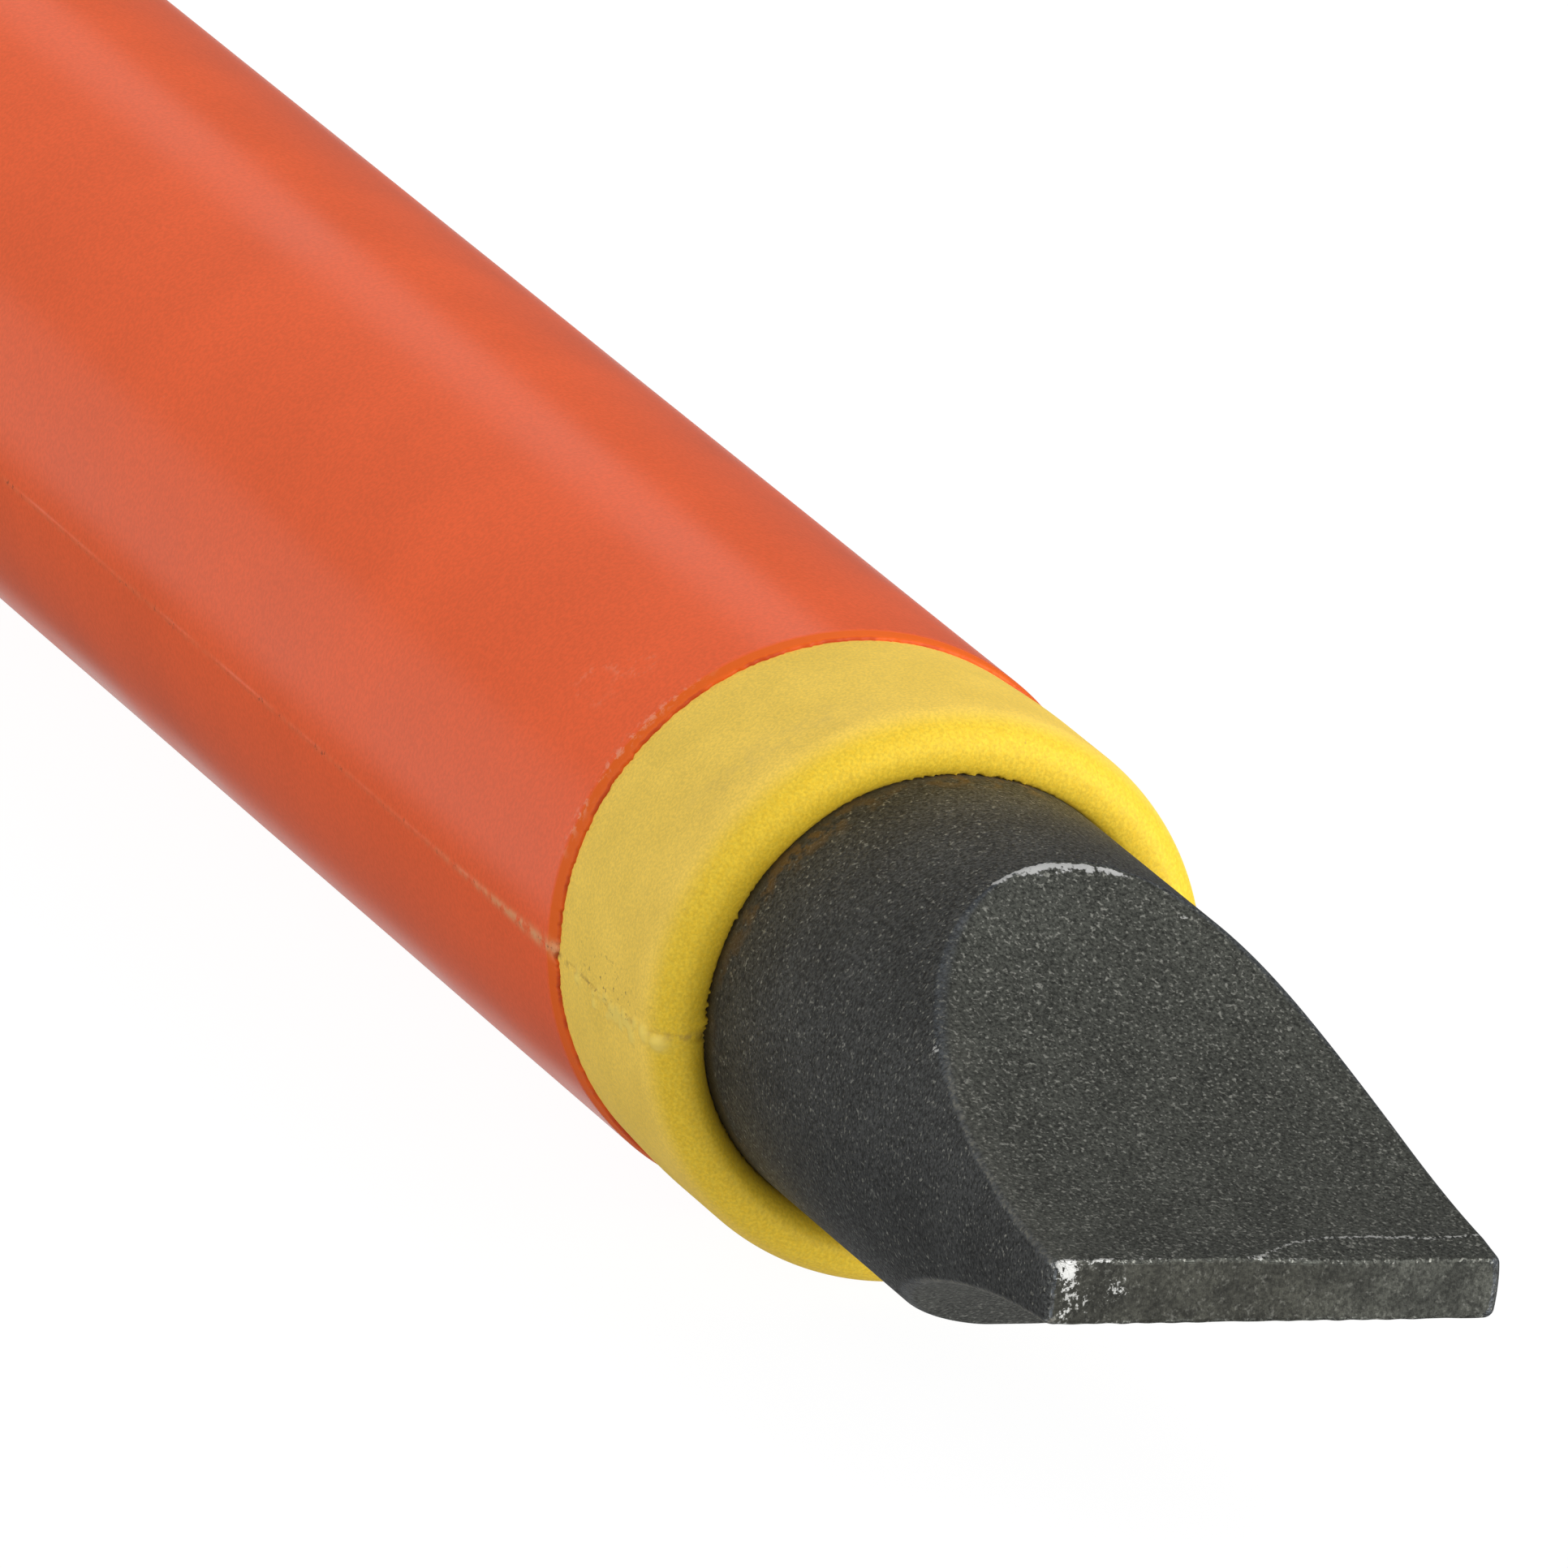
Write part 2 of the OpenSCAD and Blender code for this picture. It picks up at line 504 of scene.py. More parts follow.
def collar_outline(fine):
    """One collar, from its trimmed neck to the steel: distance from the trim line, radius, and how much
    of the way over the lip each point is."""
    width = FRONT_TRIM - FRONT_LIP
    side_end = width - LIP_LEN
    side = spaced([(-0.2, 3), (0.0, int(60 * fine)), (side_end, 0)])[:-1]
    side_r = NECK_R + (COLLAR_R - NECK_R) * smooth_step(-0.6 * SWELL_W, SWELL_W, side)
    over = np.linspace(0, 90, int(28 * fine), endpoint=False)
    curl = np.linspace(90, 180, int(16 * fine))
    lip_x = np.concatenate([
        side_end + LIP_LEN * np.sin(np.radians(over)),
        width - LIP_CURL * (1 - np.sin(np.radians(curl))),
    ])
    lip_r = np.concatenate([
        LIP_CREST_R + (COLLAR_R - LIP_CREST_R) * np.cos(np.radians(over)),
        LIP_CREST_R + (LIP_CREST_R - BAR_R) * np.cos(np.radians(curl)),
    ])
    along = np.concatenate([side, lip_x])
    radius = np.concatenate([side_r, lip_r])
    # 0 on the side band, 1 at the crest of the lip and 2 at the steel
    lip = np.concatenate([np.zeros_like(side), over / 90, curl / 90])
    return along, radius, lip


def turns(count, near_seam):
    """Angles right round the axis, closer together near the seam."""
    rest = count - near_seam
    before_seam = SEAM_TURN - SEAM_ZONE
    after_seam = SEAM_TURN + SEAM_ZONE
    angles = spaced([(0, rest // 2), (before_seam, near_seam), (after_seam, rest - rest // 2), (360, 0)])
    return angles[None, :-1]


def smudge(back, turn):
    """Grey dirt along the front collar's shoulder, over its upper left."""
    shoulder = FRONT_LIP + LIP_LEN + 1.6 + 0.02 * (turn - 125)
    return bump_at(shoulder, 2.2, back) * smooth_step(98, 112, turn) * (1 - smooth_step(135, 152, turn))


def crumbs(back, gap, radius, seed):
    """Height of the torn crumbs of yellow along the front seam, one small mound for each."""
    rng = np.random.default_rng(seed)
    height = np.zeros_like(back + gap, dtype=float)
    for _ in range(CRUMB_COUNT):
        centre = rng.triangular(FRONT_LIP + 0.4, FRONT_LIP + 4.0, FRONT_TRIM - 0.5)
        aside = rng.normal(0.1, 0.25)
        size = rng.uniform(0.12, 0.30)
        tall = rng.uniform(0.06, 0.28)
        gap_mm = np.radians(gap) * radius - aside
        height = height + tall * np.exp(-((back - centre) ** 2 + gap_mm ** 2) / size ** 2)
    return height


def build_inner():
    turn = turns(640, 130)
    front_along, front_r, front_lip = collar_outline(1.0)
    rear_along, rear_r, rear_lip = collar_outline(0.32)
    # Round the profile: over the front collar from its lip, under the outer layer, and over the rear collar
    back = np.concatenate([
        (FRONT_TRIM - front_along)[::-1],
        [FRONT_TRIM + 0.2, REAR_TRIM - 0.2],
        REAR_TRIM + rear_along,
    ])[:, None]
    radius = np.concatenate([front_r[::-1], [INNER_R, INNER_R], rear_r])[:, None]
    lip = np.concatenate([front_lip[::-1], [0, 0], rear_lip])[:, None]
    facing = np.where(back < OVERALL / 2, -1.0, 1.0)
    outside = radius > INNER_R + 0.05

    foam = smooth_step(0.15, 0.6, lip) * (1 - smooth_step(1.9, 2.0, lip))
    grain = lumps(turn, back, seed=21, around=330, along=2.6, count=90)
    waves = ripple(turn, seed=22, lowest=2, highest=14, falloff=0.8)
    teeth = ripple(turn, seed=23, lowest=70, highest=310, falloff=0.3)
    ragged = teeth * (0.6 + 0.4 * ripple(turn, seed=26, lowest=3, highest=14, falloff=0.4))
    gap = turn_gap(turn, SEAM_TURN + 1)
    torn = 0.5 + 0.5 * lumps(turn, back, seed=24, around=60, along=0.6, count=30)
    cut = bump_at(0, 0.8, gap) * torn
    pile = crumbs(back, gap, radius, seed=25)
    curl = smooth_step(1.0, 2.0, lip)
    foot = smooth_step(1.6, 1.95, lip)

    new_radius = radius + outside * (FOAM_GRAIN * foam * grain - FOAM_DEPTH * foam * (1 + 0.3 * waves))
    new_radius = new_radius + outside * (1 - curl) * (pile - 0.05 * cut)
    lower_left = smooth_step(165, 215, turn) * (1 - smooth_step(260, 300, turn))
    notch = 0.3 * bump_at(187.4, 1.6, turn) - 0.3 * bump_at(183.6, 2.4, turn)
    uneven = 0.11 * ragged * foot + 0.05 * waves + 0.85 * lower_left + notch
    new_back = back - facing * (curl * uneven + FOAM_GRAIN * foam * grain) + facing * 0.5 * pile * (lip > 0.5)
    new_radius = np.minimum(new_radius, OUTER_LIMIT)
    marks = {
        "lip": np.broadcast_to(lip, new_radius.shape),
        "seam": bump_at(0, 1.6, gap) * np.ones_like(new_radius),
        "crumb": np.clip(pile / 0.12, 0, 1),
        "dirt": bump_at(FRONT_LIP + 5, 7, back) * bump_at(-3, 10, gap),
        "smudge": smudge(back, turn),
    }
    new_back, new_radius = np.broadcast_arrays(new_back, new_radius)
    return ring_grid("yellow_insulation", new_back, new_radius, turn, marks)


def scrapes(back, turn):
    """Where the sleeve is scuffed pale: along the back of the front bevel, and in small loops behind it."""
    window = smooth_step(112, 140, turn) * (1 - smooth_step(158, 172, turn))
    scraped = bump_at(FRONT_TRIM + 0.75, 0.6, back) * window
    for loop_back, loop_turn, loop_radius in SCUFF_LOOPS:
        aside = np.radians(turn - loop_turn) * SLEEVE_R
        ring = np.hypot((back - loop_back) * 0.7, aside)
        scraped = scraped + 0.4 * bump_at(loop_radius, 0.3, ring)
    return np.clip(scraped, 0, 1)


def build_outer():
    turn = turns(760, 150)
    # Depth from the trimmed end, and radius, from the inside of the end face over the bevel
    end_depth = np.array([0.0, 0.0, 0.0, 0.02, 0.06, 0.2, 0.35, 0.5, 0.65, 0.75, 0.85, 1.0, 1.3, 1.8])
    bevel = TRIM_DROP * np.clip(1 - end_depth / TRIM_LEN, 0, 1)
    end_r = SKIN_R - bevel
    end_r[:4] = [INNER_R, NECK_R - 0.1, 11.76, 11.82]
    middle = spaced([(FRONT_TRIM + 2.2, 18), (FRONT_TRIM + 12, 56), (REAR_TRIM - 2.2, 0)])
    back = np.concatenate([FRONT_TRIM + end_depth, middle, (REAR_TRIM - end_depth)[::-1]])[:, None]
    radius = np.concatenate([end_r, np.full_like(middle, SKIN_R), end_r[::-1]])[:, None]
    depth = np.minimum(back - FRONT_TRIM, REAR_TRIM - back)
    facing = np.where(back < OVERALL / 2, -1.0, 1.0)

    near_end = np.exp(-depth / 0.5)
    gap = turn_gap(turn, SEAM_TURN)
    jagged = 0.03 * ripple(turn, seed=31, lowest=3, highest=20, falloff=0.5)
    jagged = jagged + 0.04 * ripple(turn, seed=32, lowest=40, highest=330, falloff=0.45)
    jagged = jagged - 0.45 * bump_at(1.5, 1.8, gap) - 0.15 * bump_at(105, 90, turn)
    flare = 0.9 + 1.2 * np.exp(-depth / 4)
    beads = lumps(turn * 0, back, seed=33, around=0, along=0.9, count=16)
    ridge = bump_at(0, flare, gap) * (0.6 + 0.4 * beads)
    step = 0.008 * smooth_step(-0.6, 0.6, gap) * bump_at(0, 60, gap)
    waves = lumps(turn, back, seed=34, around=5, along=0.05, count=18)
    outside = radius > INNER_R + 0.6
    new_radius = radius + outside * (0.022 * ridge - step + 0.003 * waves)
    new_radius = np.minimum(new_radius, OUTER_LIMIT)
    new_back = back + facing * near_end * jagged
    new_back, new_radius = np.broadcast_arrays(new_back, new_radius)
    marks = {
        "trim": np.broadcast_to(1 - smooth_step(0.8, 1.0, depth / TRIM_LEN), new_radius.shape),
        "depth": np.broadcast_to(depth, new_radius.shape),
        "seam": bump_at(0, 1.6 * flare, gap) * np.ones_like(new_radius),
        "under": smooth_step(-0.4, 0.6, gap) * (1 - smooth_step(20, 70, gap)) * np.ones_like(new_radius),
        "scrape": scrapes(back, turn),
    }
    return ring_grid("orange_insulation", new_back, new_radius, turn, marks)


# ---------------------------------------------------------------- helpers for materials

def node(tree, kind, inputs=None, **settings):
    """Adds a node. Each input is a plain value or another node's output socket."""
    made = tree.nodes.new(kind)
    for key, value in settings.items():
        setattr(made, key, value)
    for key, value in (inputs or {}).items():
        if isinstance(value, bpy.types.NodeSocket):
            tree.links.new(value, made.inputs[key])
        else:
            made.inputs[key].default_value = value
    return made


def maths(tree, operation, first, second=0.0, clamp=False):
    inputs = {0: first, 1: second}
    return node(tree, "ShaderNodeMath", inputs, operation=operation, use_clamp=clamp).outputs[0]


def times(tree, first, second):
    return maths(tree, "MULTIPLY", first, second)


def between(tree, value, low, high, to_low=0.0, to_high=1.0):
    """A value smoothly remapped from one range to another, and clamped."""
    inputs = {0: value, 1: low, 2: high, 3: to_low, 4: to_high}
    return node(tree, "ShaderNodeMapRange", inputs, interpolation_type="SMOOTHSTEP").outputs[0]


def mixed(tree, factor, first, second, mode="MIX"):
    """Two colours mixed. A plain colour is three numbers."""
    inputs = {0: factor}
    for index, value in ((6, first), (7, second)):
        inputs[index] = value if isinstance(value, bpy.types.NodeSocket) else (*value, 1)
    return node(tree, "ShaderNodeMix", inputs, data_type="RGBA", blend_type=mode).outputs[2]


def grey(tree, value):
    return node(tree, "ShaderNodeCombineColor", {0: value, 1: value, 2: value}).outputs[0]


def shaded(tree, colour, factor):
    """A colour made lighter or darker by a value."""
    return mixed(tree, 1.0, colour, grey(tree, factor), "MULTIPLY")


def noise(tree, where, per_mm, detail=2.0, roughness=0.5):
    """Smooth random values of about 0.3 to 0.7, with that many features to a millimetre."""
    inputs = {"Vector": where, "Scale": per_mm, "Detail": detail, "Roughness": roughness}
    return node(tree, "ShaderNodeTexNoise", inputs).outputs[0]


def mark(tree, name):
    """A value kept at the mesh's points."""
    return node(tree, "ShaderNodeAttribute", attribute_name=name).outputs["Fac"]


def new_material(name):
    """A node material, its tree, its shader, and the place on the object in millimetres."""
    material = bpy.data.materials.new(name)
    material.use_nodes = True
    tree = material.node_tree
    tree.nodes.clear()
    shader = node(tree, "ShaderNodeBsdfPrincipled")
    node(tree, "ShaderNodeOutputMaterial", {"Surface": shader.outputs[0]})
    inputs = {0: node(tree, "ShaderNodeTexCoord").outputs["Object"], "Scale": 1 / MM}
    where = node(tree, "ShaderNodeVectorMath", inputs, operation="SCALE").outputs[0]
    return material, tree, shader, where


def set_bump(tree, shader, height, strength, depth_mm):
    inputs = {"Height": height, "Strength": strength, "Distance": depth_mm * MM}
    tree.links.new(node(tree, "ShaderNodeBump", inputs).outputs[0], shader.inputs["Normal"])


def connect(tree, shader, **sockets):
    for key, value in sockets.items():
        tree.links.new(value, shader.inputs[key.replace("_", " ")])


# ---------------------------------------------------------------- materials

# Colours are linear red, green and blue. The ground faces are a little green, the round bar is grey, and the
# rolled-over edge between them is bluish
ROUND_STEEL = (0.049, 0.051, 0.050)
GROUND_STEEL = (0.052, 0.054, 0.046)
END_STEEL = (0.029, 0.029, 0.023)
ROLLED_STEEL = (0.060, 0.067, 0.076)
STEEL_FLECK = (0.30, 0.30, 0.265)
STEEL_STAIN = (0.25, 0.135, 0.025)
# Pale dust beside the lip, also painted light that lifts the shade there
STEEL_DUST_AND_LIGHT = (0.17, 0.15, 0.10)
RUBBED_STEEL = (0.17, 0.166, 0.142)
# Bare metal at chips, scratches and dents, also used to paint highlights on the tip's edges and the facet's
# crest
BARE_STEEL_AND_HIGHLIGHT = (0.50, 0.50, 0.48)
# Bare shiny metal, made bright enough to paint the sliver's highlight
POLISHED_STEEL_AND_HIGHLIGHT = (0.44, 0.44, 0.43)

YELLOW_SIDE = ((0.800, 0.545, 0.082), (0.860, 0.588, 0.092))
YELLOW_LIP = ((0.66, 0.430, 0.018), (0.71, 0.490, 0.030))
# Painted shade on the lip where it curls in against the steel
YELLOW_SHADE_BY_STEEL = (0.55, 0.36, 0.06)
YELLOW_PIT = (0.34, 0.22, 0.07)
YELLOW_SMEAR = (0.40, 0.30, 0.13)
YELLOW_TORN = (0.36, 0.22, 0.05)
YELLOW_CRUMB = (0.80, 0.60, 0.12)
YELLOW_GRIME = (0.24, 0.15, 0.05)

ORANGE_SLEEVE = ((0.790, 0.112, 0.030), (0.850, 0.121, 0.033))
ORANGE_TRIM = (0.72, 0.110, 0.006)
ORANGE_UNDER = (0.62, 0.085, 0.022)
# Painted shadow below the step where the sleeve's trimmed end meets the yellow
ORANGE_BORDER_SHADOW = (0.38, 0.030, 0.006)
ORANGE_SCUFF = (0.80, 0.42, 0.27)
ORANGE_FLASH = (0.74, 0.32, 0.14)
ORANGE_CRACK = (0.14, 0.04, 0.02)
ORANGE_DUST = (0.66, 0.30, 0.19)


def steel_material():
    """Blackened steel with a blasted grain, coarser on the ground faces, bare metal where it is chipped,
    scratched and dented, painted highlights on the tip's edges, the facet's crest and the sliver, and painted
    light beside the lip.
    """
    material, tree, shader, where = new_material("dark_blasted_steel")
    ground = mark(tree, "ground")
    end_face = mark(tree, "end_face")
    wear_and_highlight = mark(tree, "wear_and_highlight")
    polish_and_highlight = mark(tree, "polish_and_highlight")
    stain = mark(tree, "stain")
    dust = mark(tree, "dust")
    rubbed = mark(tree, "rubbed")

    colour = mixed(tree, ground, ROUND_STEEL, GROUND_STEEL)
    colour = mixed(tree, end_face, colour, END_STEEL)
    rolled = times(tree, between(tree, ground, 0.02, 0.3), between(tree, ground, 0.5, 0.95, 1.0, 0.0))
    colour = mixed(tree, times(tree, rolled, 0.7), colour, ROLLED_STEEL)
    cloud = between(tree, noise(tree, where, 0.35, detail=3), 0.3, 0.7, 0.88, 1.12)
    colour = shaded(tree, colour, cloud)
    blotch = noise(tree, where, 0.75, detail=3, roughness=0.6)
    blotch = between(tree, blotch, 0.36, 0.60, 0.80, 1.24)
    colour = mixed(tree, between(tree, end_face, 0.0, 0.4), colour, shaded(tree, colour, blotch))

    # Grain: an even mottle, and brighter flecks that are denser on the ground faces
    mottle = noise(tree, where, 6.5, detail=2, roughness=0.65)
    fleck = noise(tree, where, 5.5, detail=1.5, roughness=0.6)
    tone = between(tree, mottle, 0.28, 0.72, -0.62, 0.62)
    tone = times(tree, tone, between(tree, end_face, 0.0, 0.4, 1.0, 0.6))
    colour = shaded(tree, colour, maths(tree, "ADD", tone, 1.0))
    rarity = between(tree, ground, 0, 1, 0.61, 0.575)
    bright = maths(tree, "MULTIPLY", maths(tree, "SUBTRACT", fleck, rarity), 7.0, clamp=True)
    glint = times(tree, bright, between(tree, end_face, 0.0, 0.4, 1.0, 0.2))
    glint = times(tree, glint, between(tree, ground, 0.0, 1.0, 1.0, 0.75))
    colour = mixed(tree, glint, colour, STEEL_FLECK)

    patchy = between(tree, noise(tree, where, 0.8, detail=4, roughness=0.65), 0.50, 0.60)
    stained = times(tree, times(tree, stain, patchy), 0.8)
    colour = mixed(tree, stained, colour, STEEL_STAIN)
    # Beside the lip, pale dust and painted light that lifts the shade in the groove
    colour = mixed(tree, times(tree, dust, 0.7), colour, STEEL_DUST_AND_LIGHT)

    # The face's edges are rubbed to a thin pale line, broken up by the grain
    rub = times(tree, rubbed, between(tree, fleck, 0.40, 0.62, 0.25, 1.0))
    colour = mixed(tree, rub, colour, RUBBED_STEEL)

    # Wear, and the painted highlights on the tip's edges and the facet's crest, break up into specks where
    # they are light, and join up where they are heavy
    broken = noise(tree, where, 6.5, detail=3, roughness=0.65)
    threshold = between(tree, wear_and_highlight, 0, 1, 0.76, 0.38)
    worn_and_highlight = between(tree, maths(tree, "SUBTRACT", broken, threshold), 0.0, 0.08)
    worn_and_highlight = times(tree, worn_and_highlight, between(tree, wear_and_highlight, 0.2, 1.0, 0.36, 1.0))
    colour = mixed(tree, worn_and_highlight, colour, BARE_STEEL_AND_HIGHLIGHT)

    # The bright sliver, bare metal with a painted highlight, with an outline that the grain breaks up
    torn_edge = maths(tree, "SUBTRACT", noise(tree, where, 4.0, detail=3), 0.5)
    polished_with_highlight = maths(tree, "ADD", polish_and_highlight, times(tree, torn_edge, 2.4))
    polished_with_highlight = between(tree, polished_with_highlight, 0.35, 0.65)
    polished_with_highlight = times(tree, polished_with_highlight, between(tree, polish_and_highlight, 0.0, 0.2))
    colour = mixed(tree, polished_with_highlight, colour, POLISHED_STEEL_AND_HIGHLIGHT)

    rough = between(tree, mottle, 0.3, 0.7, 0.62, 0.46)
    rough = maths(tree, "SUBTRACT", rough, times(tree, bright, 0.1))
    connect(tree, shader, Base_Color=colour, Roughness=rough)
    shader.inputs["Metallic"].default_value = 0.6
    shader.inputs["Specular IOR Level"].default_value = 0.3
    height = maths(tree, "ADD", mottle, fleck)
    height = times(tree, height, between(tree, polished_with_highlight, 0.0, 1.0, 1.0, 0.3))
    height = times(tree, height, between(tree, end_face, 0.0, 0.4, 1.0, 0.35))
    set_bump(tree, shader, height, 0.9, 0.03)
    return material


def yellow_material():
    """Soft matte insulation: a dusty side band, a cleaner foamy lip with painted shade where it curls in to
    the steel, and a torn seam with crumbs.
    """
    material, tree, shader, where = new_material("yellow_foamed_rubber")
    lip = mark(tree, "lip")
    seam = mark(tree, "seam")
    crumb = mark(tree, "crumb")
    smudge_here = mark(tree, "smudge")
    dirt = mark(tree, "dirt")

    cloud = noise(tree, where, 0.4, detail=3)
    fine = noise(tree, where, 8.0, detail=2, roughness=0.6)
    foam = noise(tree, where, 6.5, detail=2, roughness=0.55)
    on_lip = between(tree, lip, 0.1, 0.55)

    side = mixed(tree, between(tree, cloud, 0.3, 0.7), *YELLOW_SIDE)
    clean = mixed(tree, between(tree, foam, 0.35, 0.65), *YELLOW_LIP)
    colour = mixed(tree, on_lip, side, clean)
    # Painted shade where the lip curls in against the steel
    shade_by_steel = between(tree, lip, 1.6, 1.98, 0.0, 0.3)
    colour = mixed(tree, shade_by_steel, colour, YELLOW_SHADE_BY_STEEL)
    colour = shaded(tree, colour, between(tree, fine, 0.3, 0.7, 0.90, 1.09))

    pits = between(tree, noise(tree, where, 2.6, detail=4, roughness=0.7), 0.68, 0.75, 0.0, 0.4)
    colour = mixed(tree, pits, colour, YELLOW_PIT)
    streaks = between(tree, noise(tree, where, 1.2, detail=5, roughness=0.6), 0.35, 0.70)
    smeared = times(tree, times(tree, smudge_here, streaks), 0.2)
    colour = mixed(tree, smeared, colour, YELLOW_SMEAR)
    torn = between(tree, noise(tree, where, 1.5, detail=5, roughness=0.7), 0.44, 0.60)
    torn = times(tree, times(tree, seam, torn), 0.6)
    colour = mixed(tree, torn, colour, YELLOW_TORN)
    colour = mixed(tree, times(tree, crumb, 0.85), colour, YELLOW_CRUMB)
    grime = between(tree, noise(tree, where, 3.2, detail=3, roughness=0.6), 0.60, 0.68)
    colour = mixed(tree, times(tree, grime, dirt), colour, YELLOW_GRIME)

    connect(tree, shader, Base_Color=colour, Roughness=between(tree, fine, 0.3, 0.7, 0.60, 0.72))
    shader.inputs["Specular IOR Level"].default_value = 0.3
    height = maths(tree, "ADD", times(tree, fine, 0.5), times(tree, foam, on_lip))
    set_bump(tree, shader, height, 0.42, 0.03)
    return material


def orange_material():
    """Satin orange plastic with faint mottling and scuffs, a fresher colour where the end was trimmed, and a
    painted shadow where it steps down to the yellow.
    """
    material, tree, shader, where = new_material("orange_satin_plastic")
    trim = mark(tree, "trim")
    depth = mark(tree, "depth")
    seam = mark(tree, "seam")
    under = mark(tree, "under")
    scrape = mark(tree, "scrape")

    cloud = noise(tree, where, 0.09, detail=3)
    fine = noise(tree, where, 6.0, detail=2)
    colour = mixed(tree, between(tree, cloud, 0.3, 0.7), *ORANGE_SLEEVE)
    colour = shaded(tree, colour, between(tree, fine, 0.3, 0.7, 0.94, 1.06))
    colour = mixed(tree, trim, colour, ORANGE_TRIM)
    colour = mixed(tree, times(tree, under, 0.12), colour, ORANGE_UNDER)

    # A painted shadow line where the trimmed end steps down to the yellow, broken up by noise, and pale
    # broken marks along the bevel's back
    scored = noise(tree, where, 2.4, detail=4, roughness=0.7)
    line_breakup = between(tree, noise(tree, where, 0.6, detail=3), 0.40, 0.60, 0.15, 1.0)
    border_shadow = times(tree, between(tree, depth, 0.0, 0.14, 0.65, 0.0), line_breakup)
    colour = mixed(tree, border_shadow, colour, ORANGE_BORDER_SHADOW)
    pale = times(tree, scrape, between(tree, scored, 0.50, 0.60))
    colour = mixed(tree, times(tree, pale, 0.45), colour, ORANGE_SCUFF)

    # The mould seam: patches of pale flash that fade away from the end, and a dark crack
    patch_noise = between(tree, noise(tree, where, 1.1, detail=4, roughness=0.7), 0.34, 0.60)
    near_end = between(tree, depth, 2.0, 16.0, 1.0, 0.12)
    flash = times(tree, times(tree, seam, patch_noise), near_end)
    colour = mixed(tree, flash, colour, ORANGE_FLASH)
    dark = between(tree, scored, 0.60, 0.68, 0.0, 0.6)
    colour = mixed(tree, times(tree, dark, seam), colour, ORANGE_CRACK)

    # Specks of pale dust, thicker in places
    scuffed = between(tree, noise(tree, where, 0.22, detail=3), 0.45, 0.65)
    speck = between(tree, noise(tree, where, 2.2, detail=5, roughness=0.8), 0.67, 0.74, 0.0, 0.4)
    dust = maths(tree, "MULTIPLY", speck, maths(tree, "ADD", scuffed, 0.25), clamp=True)
    colour = mixed(tree, dust, colour, ORANGE_DUST)

    rough = between(tree, cloud, 0.3, 0.7, 0.19, 0.25)
    rough = maths(tree, "ADD", rough, times(tree, trim, 0.25))
    connect(tree, shader, Base_Color=colour, Roughness=rough)
    shader.inputs["Specular IOR Level"].default_value = 0.2
    set_bump(tree, shader, maths(tree, "ADD", fine, noise(tree, where, 1.2, detail=3)), 0.09, 0.03)
    return material


def floor_material():
    material, tree, shader, where = new_material("pale_floor")
    tone = between(tree, noise(tree, where, 0.004, detail=2), 0.3, 0.7, 0.025, 0.03)
    connect(tree, shader, Base_Color=grey(tree, tone))
    shader.inputs["Roughness"].default_value = 0.9
    shader.inputs["Emission Color"].default_value = (1, 1, 1, 1)
    shader.inputs["Emission Strength"].default_value = 0.965
    return material


# ---------------------------------------------------------------- the studio

def build_floor():
    """A plain pale floor. Only the camera and the object's shadow meet it, so it doesn't light the object."""
    half = 3.0
    mesh = bpy.data.meshes.new("floor")
    corners = [(-half, -half, 0), (half, -half, 0), (half, half, 0), (-half, half, 0)]
    mesh.from_pydata(corners, [], [(0, 1, 2, 3)])
    floor = bpy.data.objects.new("floor", mesh)
    bpy.context.scene.collection.objects.link(floor)
    floor.data.materials.append(floor_material())
    floor.visible_glossy = False
    floor.visible_diffuse = False
    floor.visible_shadow = False


# Soft lights all round the object: the direction each comes from, its half width and the width of its soft
# edge in degrees, and its brightness
SOFT_LIGHTS = (
    ((1.0, 1.0, 0.0), 40, 40, 3.55),  # the main light, low on the right of the cutting end
    ((0.6, 0.5, 0.6), 40, 40, 2.75),  # and above it
    ((1.0, 0.0, 0.0), 45, 45, 1.1),  # in front of the cutting end
    ((-0.45, 0.33, 0.83), 32, 32, 0.45),  # a fill from overhead
    ((0.0, -1.0, 0.0), 40, 40, 1.3),  # a fill from the left
    ((0.0, -0.7, 0.7), 40, 40, 1.25),  # and above it
    ((0.0, 0.0, -1.0), 50, 50, 0.6),  # light that comes back from the floor
    ((-0.88, -0.16, 0.45), 28.5, 4, 0.18),  # a wide panel above the struck end
    ((-0.88, 0.22, 0.42), 8.5, 5, 0.36),  # its brighter edge
    ((-0.88, -0.47, -0.08), 15, 7, 0.54),  # a brighter panel beside it
    ((-0.88, 0.34, -0.34), 14, 8, 0.50),  # the far end of the table
)
# The surround, beyond the struck end and in front of the cutting end
AMBIENT = (0.13, 0.27)


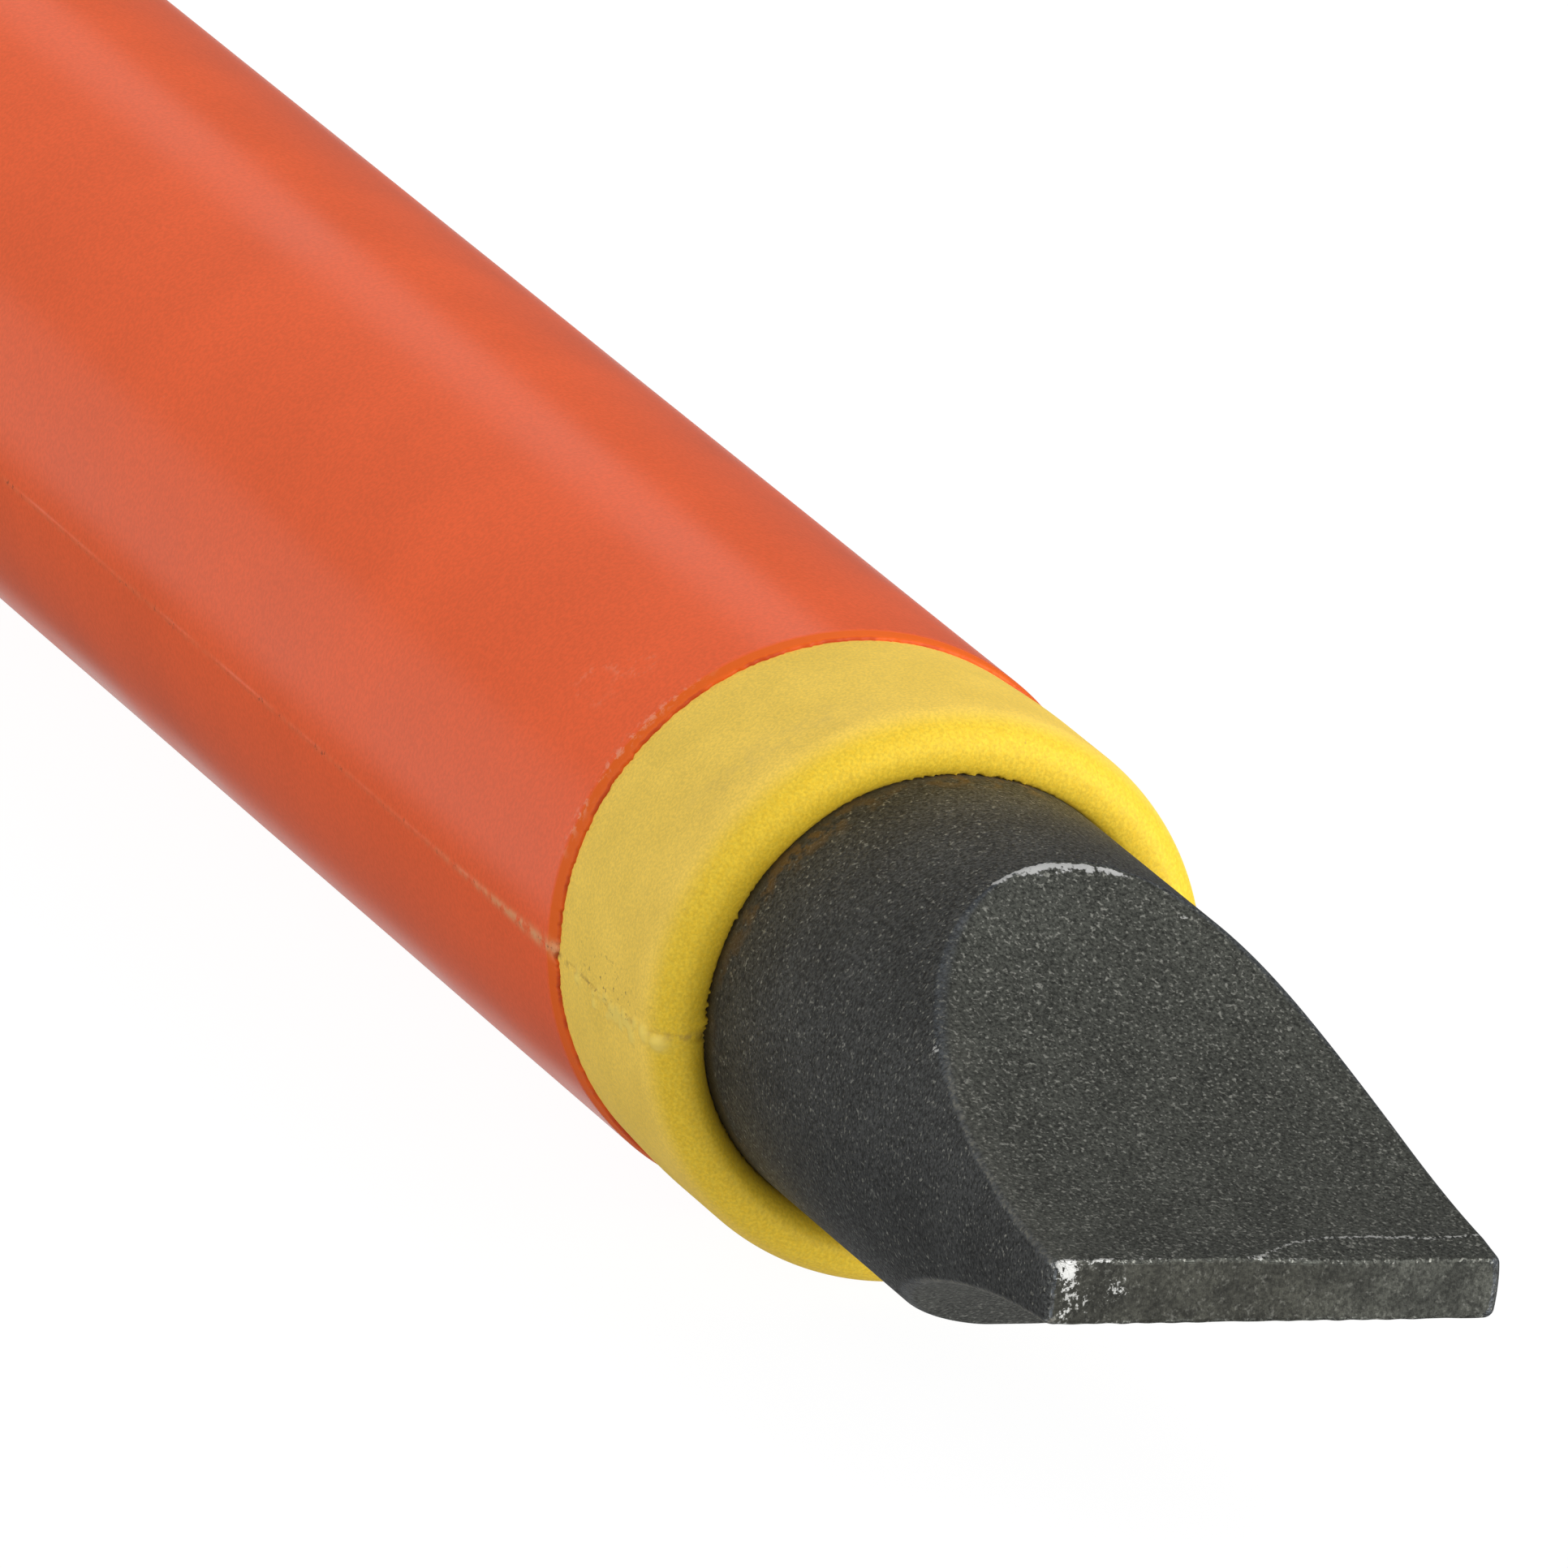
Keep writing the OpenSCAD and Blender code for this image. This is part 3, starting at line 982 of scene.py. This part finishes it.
def build_lights():
    """A plain white surround with a few broad soft lights in it."""
    world = bpy.data.worlds.new("studio")
    bpy.context.scene.world = world
    world.use_nodes = True
    tree = world.node_tree
    direction = node(tree, "ShaderNodeTexCoord").outputs["Generated"]
    forward = node(tree, "ShaderNodeSeparateXYZ", {0: direction}).outputs["X"]
    total = between(tree, forward, -0.78, -0.2, *AMBIENT)
    for centre, half_width, soft_edge, brightness in SOFT_LIGHTS:
        inputs = {0: direction, 1: Vector(centre).normalized()}
        closeness = node(tree, "ShaderNodeVectorMath", inputs, operation="DOT_PRODUCT").outputs["Value"]
        outside = float(np.cos(np.radians(half_width)))
        inside = float(np.cos(np.radians(half_width - soft_edge)))
        total = maths(tree, "ADD", total, between(tree, closeness, outside, inside, 0.0, brightness))
    background = tree.nodes["Background"]
    background.inputs["Color"].default_value = (1, 1, 1, 1)
    tree.links.new(total, background.inputs["Strength"])


def build_camera():
    """A long lens in front of the cutting end, above it and to its left, rolled a little."""
    azimuth, elevation, roll = np.radians([-23.535, 16.439, 6.575])
    distance = 1.1215
    aim = Vector((TIP_X - 12.8, -17.2, AXIS_Z + 16.4)) * MM
    level = np.cos(elevation)
    back = Vector((level * np.cos(azimuth), level * np.sin(azimuth), np.sin(elevation)))
    right = Vector((0, 0, 1)).cross(back).normalized()
    axes = Matrix((right, back.cross(right), back)).transposed() @ Matrix.Rotation(roll, 3, "Z")
    data = bpy.data.cameras.new("camera")
    data.sensor_width = 36.0
    data.lens = 671.8
    data.clip_end = 20.0
    camera = bpy.data.objects.new("camera", data)
    bpy.context.scene.collection.objects.link(camera)
    camera.matrix_world = Matrix.Translation(aim + back * distance) @ axes.to_4x4()
    bpy.context.scene.camera = camera
    bpy.context.scene.view_settings.view_transform = "Standard"


# ---------------------------------------------------------------- the scene

def finish_piece(piece, material, node_name):
    piece.data.materials.append(material)
    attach(piece, "root")
    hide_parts(node_name)


build_camera()
build_floor()
build_lights()
finish_piece(build_bar(), steel_material(), "chisel_bar")
finish_piece(build_inner(), yellow_material(), "inner_insulation")
finish_piece(build_outer(), orange_material(), "outer_insulation")
